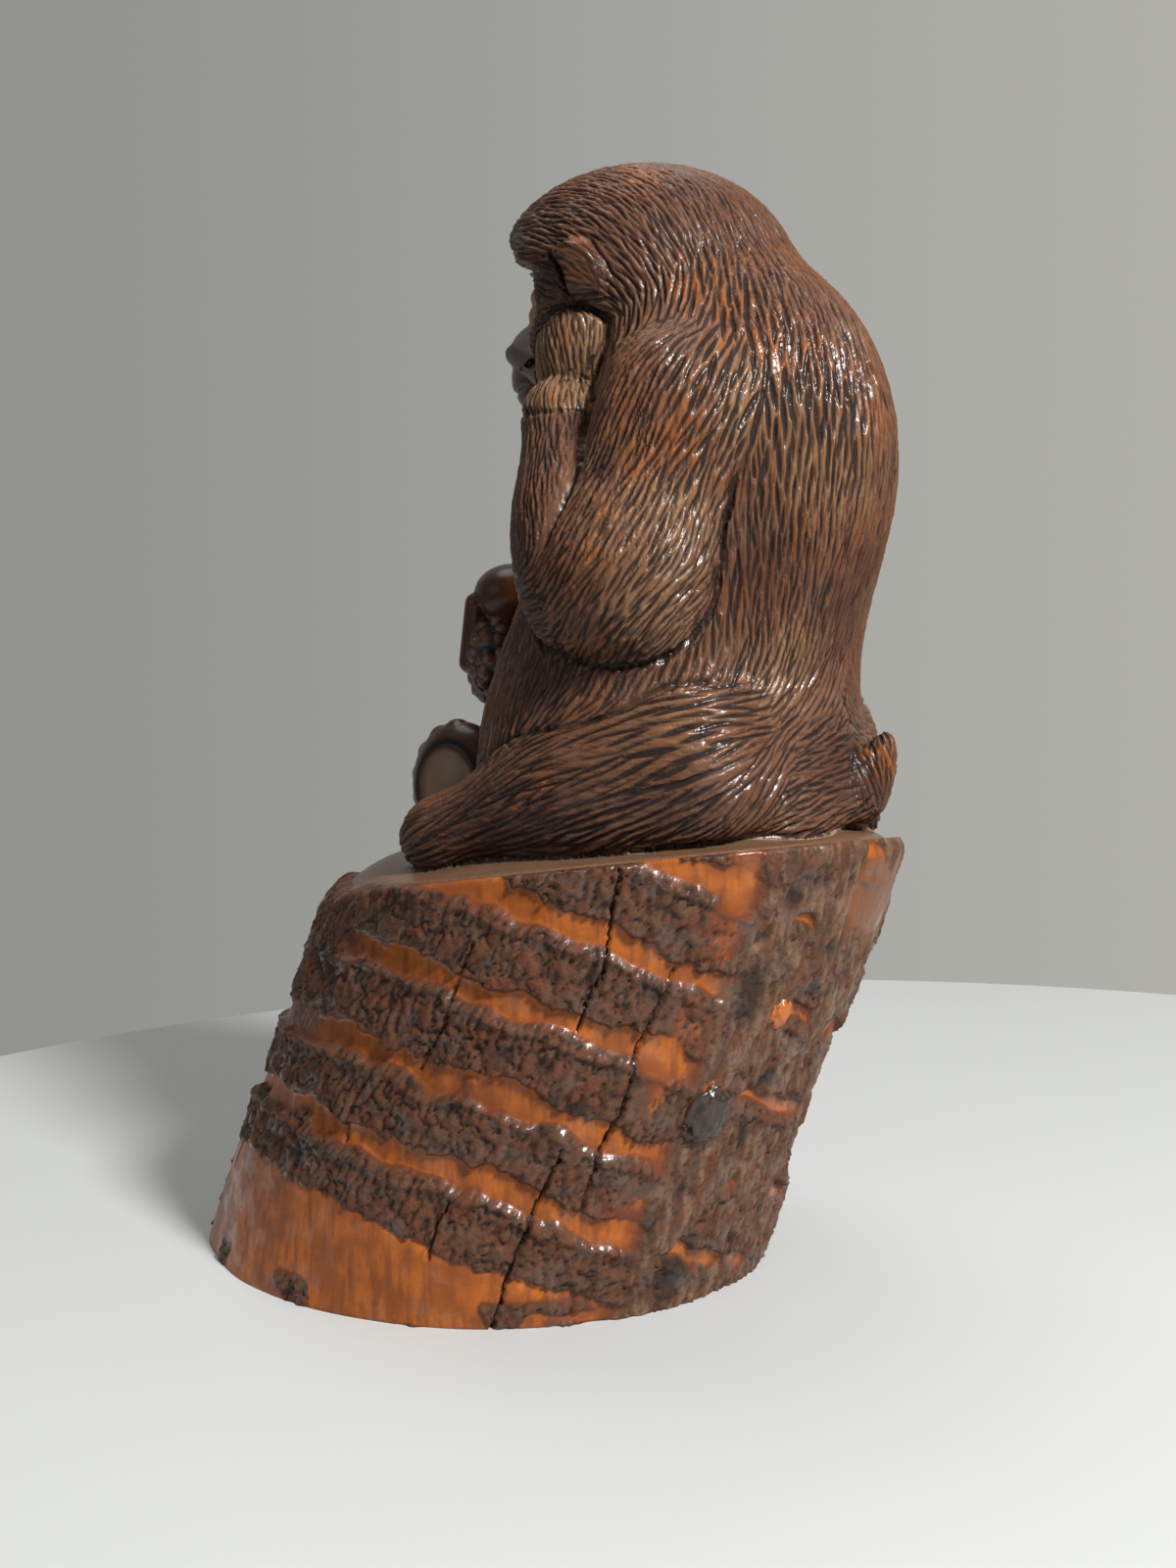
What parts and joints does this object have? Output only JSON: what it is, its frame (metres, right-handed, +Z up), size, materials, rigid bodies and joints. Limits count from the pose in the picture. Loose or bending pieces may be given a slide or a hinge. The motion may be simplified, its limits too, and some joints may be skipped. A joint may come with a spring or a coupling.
{
  "type": "monkey figurine",
  "caption": "Seated monkey ornament carved from a leaning bamboo-root stump, with one hand raised to its face, that stands on the stump's flat foot.",
  "frame": {"origin": "centre of the stump's flat foot, where the ornament stands", "axes": "+Z up; the monkey faces -Y and its left side is +X"},
  "size_m": [0.1138, 0.1529, 0.221],
  "materials": {
    "stump_bark": "varnished bark and polished culm wood in bands",
    "root_scar": "glossy dark scar",
    "ledge_wood": "smooth stained wood with fine pores",
    "fur_wood": "gouge-carved fur, stained dark and varnished",
    "bare_wood": "smooth stained and varnished wood",
    "eye_wood": "polished dark wood",
    "fruit_wood": "bumpy carved and varnished wood"
  },
  "bodies": {
    "root": {"stump": "stump_bark", "root_bud": "root_scar", "side_knot": "root_scar", "seat_plinth": "ledge_wood", "torso": "fur_wood", "head": "fur_wood", "face": "bare_wood", "muzzle": "bare_wood", "left_eye": "eye_wood", "right_eye": "eye_wood", "left_ear": "bare_wood", "right_ear": "bare_wood", "left_thigh": "fur_wood", "right_thigh": "fur_wood", "left_shin": "fur_wood", "right_shin": "fur_wood", "left_foot": "bare_wood", "right_foot": "bare_wood", "left_toes": "bare_wood", "right_toes": "bare_wood", "left_upper_arm": "fur_wood", "right_upper_arm": "fur_wood", "left_forearm": "fur_wood", "right_forearm": "fur_wood", "left_hand": "fur_wood", "right_hand": "bare_wood", "held_fruit": "fruit_wood", "left_fingers": "bare_wood", "right_fingers": "bare_wood", "tail": "fur_wood"}
  },
  "joints": []
}
